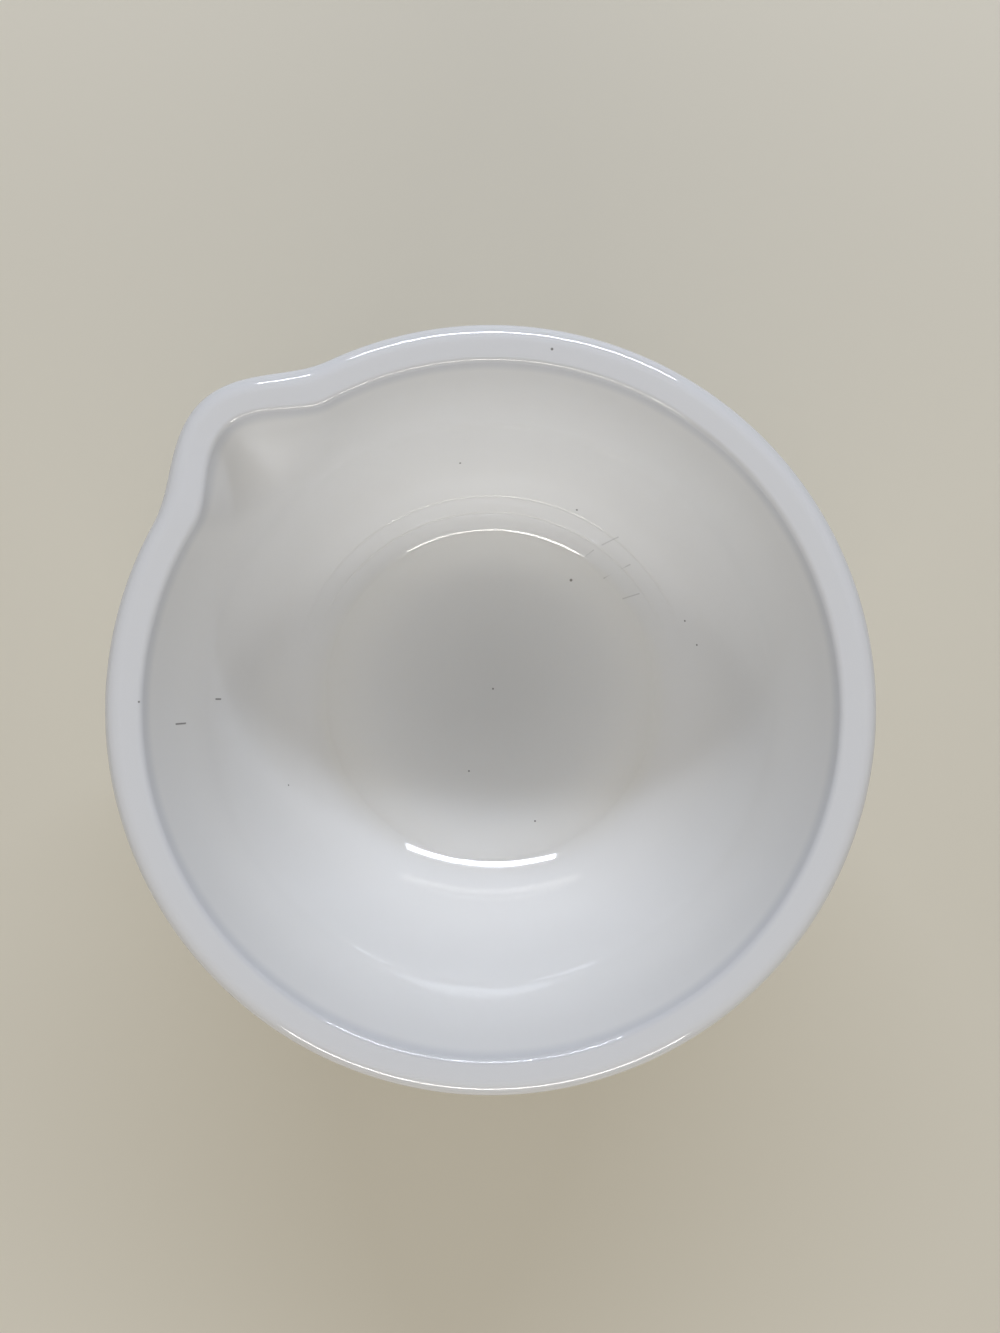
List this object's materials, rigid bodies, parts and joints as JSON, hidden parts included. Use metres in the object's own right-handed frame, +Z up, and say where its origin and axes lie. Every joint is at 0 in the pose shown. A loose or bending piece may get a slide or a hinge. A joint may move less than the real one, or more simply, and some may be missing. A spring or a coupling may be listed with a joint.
{
  "type": "batter bowl",
  "caption": "Deep round batter bowl pressed in white opal glass, with a thick banded rim, a pouring spout and a foot ring to stand on.",
  "frame": {"origin": "centre of the foot ring's resting plane, on the bowl's axis", "axes": "+Z up along the bowl's axis, towards the open rim; +X along the spout, outwards"},
  "size_m": [0.2462, 0.235, 0.122],
  "materials": {
    "opal_glass": "fire-polished gloss over milk-white opal glass that lets a little light through"
  },
  "bodies": {
    "root": {"bowl": "opal_glass"}
  },
  "joints": []
}
